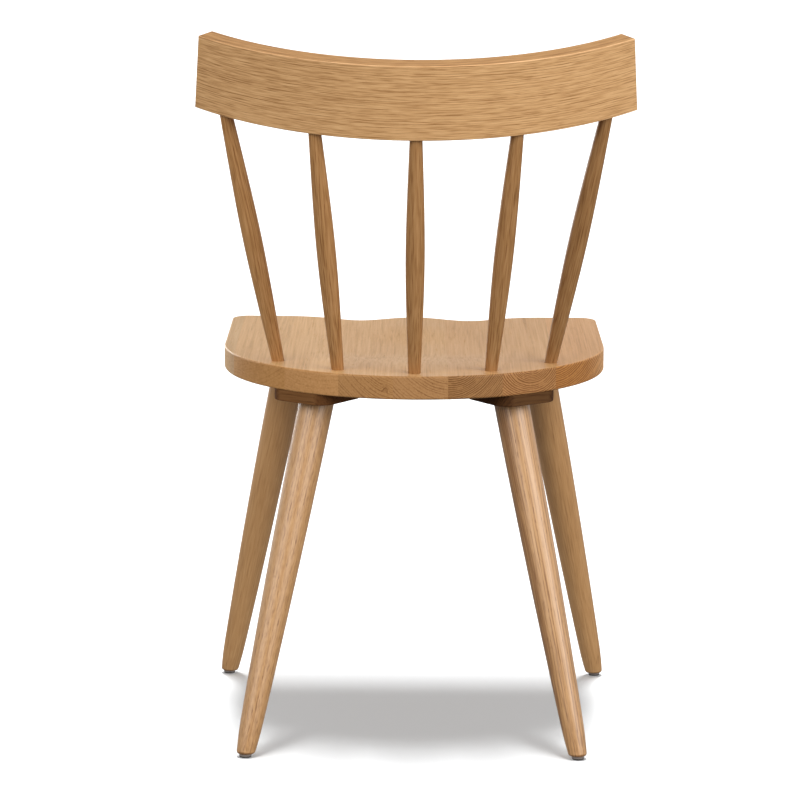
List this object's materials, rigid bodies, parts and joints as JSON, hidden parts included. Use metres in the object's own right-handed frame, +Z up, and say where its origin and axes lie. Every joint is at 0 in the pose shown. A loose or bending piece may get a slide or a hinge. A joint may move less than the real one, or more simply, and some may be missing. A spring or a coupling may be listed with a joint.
{
  "type": "spindle back chair",
  "caption": "Oak dining chair with a bent crest rail on turned spindles, a saddled D-shaped stave seat, and splayed turned legs on blocks under the seat.",
  "frame": {"origin": "on the floor, below the middle of the chair's box", "axes": "+Z up, the front of the chair faces -Y, +X towards the sitter's left"},
  "size_m": [0.4998, 0.522, 0.8254],
  "materials": {
    "seat_oak": "satin clear lacquer on oak staves",
    "crest_oak": "satin clear lacquer on bent oak",
    "spindle_oak": "satin clear lacquer on turned oak",
    "leg_oak": "satin clear lacquer on turned oak",
    "block_oak": "clear lacquer on oak",
    "screw_steel": "zinc plated",
    "nail_steel": "bright wire",
    "glide_plastic": "moulded, matt",
    "pad_felt": "pressed felt"
  },
  "bodies": {
    "root": {"seat_stave_1": "seat_oak", "seat_stave_2": "seat_oak", "seat_stave_3": "seat_oak", "seat_stave_4": "seat_oak", "seat_stave_5": "seat_oak", "seat_stave_6": "seat_oak", "seat_stave_7": "seat_oak", "seat_stave_8": "seat_oak", "crest_rail": "crest_oak", "spindle_1": "spindle_oak", "spindle_2": "spindle_oak", "spindle_3": "spindle_oak", "spindle_4": "spindle_oak", "spindle_5": "spindle_oak", "leg_rear_left": "leg_oak", "leg_rear_right": "leg_oak", "leg_front_left": "leg_oak", "leg_front_right": "leg_oak", "leg_block_rear_left": "block_oak", "leg_block_rear_right": "block_oak", "leg_block_front_left": "block_oak", "leg_block_front_right": "block_oak", "block_screws": "screw_steel", "glide_nails": "nail_steel", "glide_rear_left": "glide_plastic", "glide_rear_right": "glide_plastic", "glide_front_left": "glide_plastic", "glide_front_right": "glide_plastic", "glide_pad_rear_left": "pad_felt", "glide_pad_rear_right": "pad_felt", "glide_pad_front_left": "pad_felt", "glide_pad_front_right": "pad_felt"}
  },
  "joints": []
}
